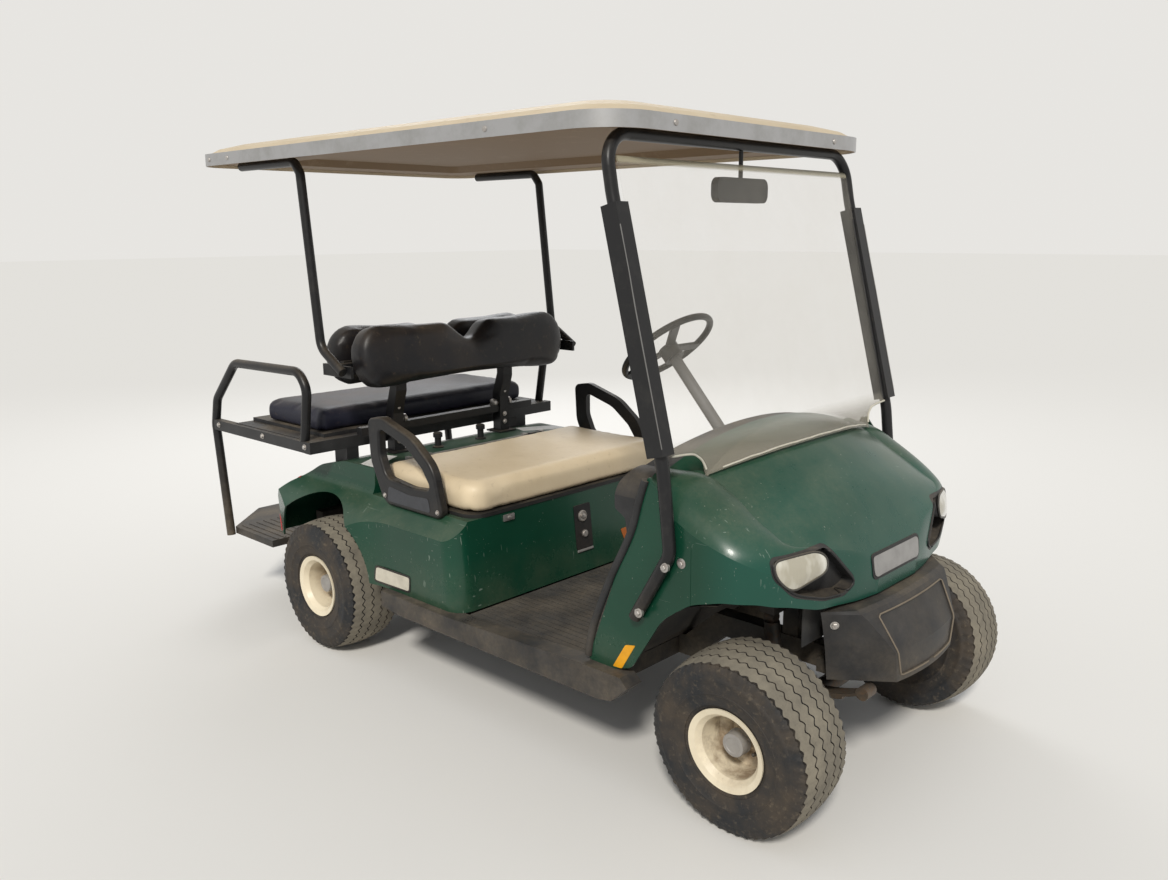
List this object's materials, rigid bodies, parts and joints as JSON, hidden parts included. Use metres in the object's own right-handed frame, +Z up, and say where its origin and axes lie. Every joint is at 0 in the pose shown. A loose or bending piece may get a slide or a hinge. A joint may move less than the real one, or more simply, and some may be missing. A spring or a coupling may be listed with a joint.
{
  "type": "golf cart",
  "caption": "Golf cart with a green moulded body, tan front seat, rear-facing folding bench, flat windshield and cream roof on black hoops.",
  "frame": {"origin": "on the ground under the middle of the outer box", "axes": "+X forward, +Y towards the driver's side, +Z up"},
  "size_m": [2.726, 1.2, 1.7238],
  "materials": {
    "tyre_rubber": "worn, dusty",
    "rim_cream": "satin, chipped",
    "axle_steel": "dusty, rusted",
    "frame_black": "satin, dusty",
    "spring_steel": "rusted",
    "floor_black": "dusty",
    "mat_rubber": "ribbed, dusty",
    "trim_plastic": "scuffed, dusty",
    "body_green": "gloss, faded and dusty",
    "lamp_red": "gloss",
    "battery_case": "matte",
    "seat_board_black": "matte",
    "seat_tan": "vinyl, creased",
    "back_black": "vinyl, glossy",
    "seat_navy": "vinyl",
    "tube_black": "powder coated, chipped",
    "deck_black": "ribbed, worn",
    "shield_clear": "clear",
    "roof_cream": "satin, dusty",
    "band_aluminium": "brushed",
    "mirror_black": "satin",
    "column_grey": "dusty",
    "wheel_rubber": "satin",
    "hinge_steel": "worn"
  },
  "bodies": {
    "cart_body": {"front_axle": "axle_steel", "rear_axle": "axle_steel", "leaf_springs": "spring_steel", "dampers": "axle_steel", "chassis_frame": "frame_black", "floor_pan": "floor_black", "floor_mat": "mat_rubber", "sills": "trim_plastic", "front_bumper": "trim_plastic", "front_cowl": "body_green", "headlamps": "trim_plastic", "dash_panel": "trim_plastic", "rear_body": "body_green", "tail_lamps": "lamp_red", "battery_pack": "battery_case", "seat_hinge": "hinge_steel", "backrest_front": "back_black", "backrest_rear": "back_black", "backrest_frame": "tube_black", "arm_loops": "tube_black", "deck_frame": "deck_black", "rear_hoops": "tube_black", "footplate": "deck_black", "front_hoop": "tube_black", "windshield": "shield_clear", "mirror": "mirror_black", "canopy": "roof_cream", "canopy_band": "band_aluminium", "rear_struts": "tube_black", "steering_column": "column_grey", "pedals": "axle_steel"},
    "steer_knuckle_left": {"knuckle_left": "axle_steel"},
    "steer_knuckle_right": {"knuckle_right": "axle_steel"},
    "wheel_front_left": {"tyre_front_left": "tyre_rubber", "rim_front_left": "rim_cream"},
    "wheel_front_right": {"tyre_front_right": "tyre_rubber", "rim_front_right": "rim_cream"},
    "wheel_rear_left": {"tyre_rear_left": "tyre_rubber", "rim_rear_left": "rim_cream"},
    "wheel_rear_right": {"tyre_rear_right": "tyre_rubber", "rim_rear_right": "rim_cream"},
    "hand_wheel": {"steering_wheel": "wheel_rubber"},
    "seat_lid": {"seat_board": "seat_board_black", "seat_cushion": "seat_tan"},
    "flip_seat": {"flip_board": "deck_black", "rear_cushion": "seat_navy"}
  },
  "joints": [
    {"name": "steer_left", "type": "hinge", "parent": "cart_body", "child": "steer_knuckle_left", "pos_m": [1.117, 0.35, 0.22531], "axis": [0, 0, 1], "range_deg": [-30, 30]},
    {"name": "spin_front_left", "type": "hinge", "parent": "steer_knuckle_left", "child": "wheel_front_left", "pos_m": [1.117, 0.451, 0.22531], "axis": [0, 0.9981, -0.061], "continuous": true},
    {"name": "spin_rear_left", "type": "hinge", "parent": "cart_body", "child": "wheel_rear_left", "pos_m": [-0.551, 0.489, 0.225], "axis": [0, 1, 0], "continuous": true},
    {"name": "steer_right", "type": "hinge", "parent": "cart_body", "child": "steer_knuckle_right", "pos_m": [1.117, -0.35, 0.22531], "axis": [0, 0, 1], "range_deg": [-30, 30]},
    {"name": "spin_front_right", "type": "hinge", "parent": "steer_knuckle_right", "child": "wheel_front_right", "pos_m": [1.117, -0.451, 0.22531], "axis": [0, 0.9981, 0.061], "continuous": true},
    {"name": "spin_rear_right", "type": "hinge", "parent": "cart_body", "child": "wheel_rear_right", "pos_m": [-0.551, -0.489, 0.225], "axis": [0, 1, 0], "continuous": true},
    {"name": "turn_hand_wheel", "type": "hinge", "parent": "cart_body", "child": "hand_wheel", "pos_m": [0.304, 0.255, 1.035], "axis": [-0.6626, 0, 0.749], "range_deg": [-370, 370]},
    {"name": "lift_seat_lid", "type": "hinge", "parent": "cart_body", "child": "seat_lid", "pos_m": [-0.353, 0, 0.658], "axis": [0, -1, 0], "range_deg": [0, 80]},
    {"name": "fold_rear_seat", "type": "hinge", "parent": "cart_body", "child": "flip_seat", "pos_m": [-1.095, 0, 0.7285], "axis": [0, -1, 0], "range_deg": [0, 180]}
  ],
  "couplings": [
    {"joint": "steer_right", "follows": "steer_left", "ratio": 1},
    {"joint": "turn_hand_wheel", "follows": "steer_left", "ratio": 12}
  ]
}
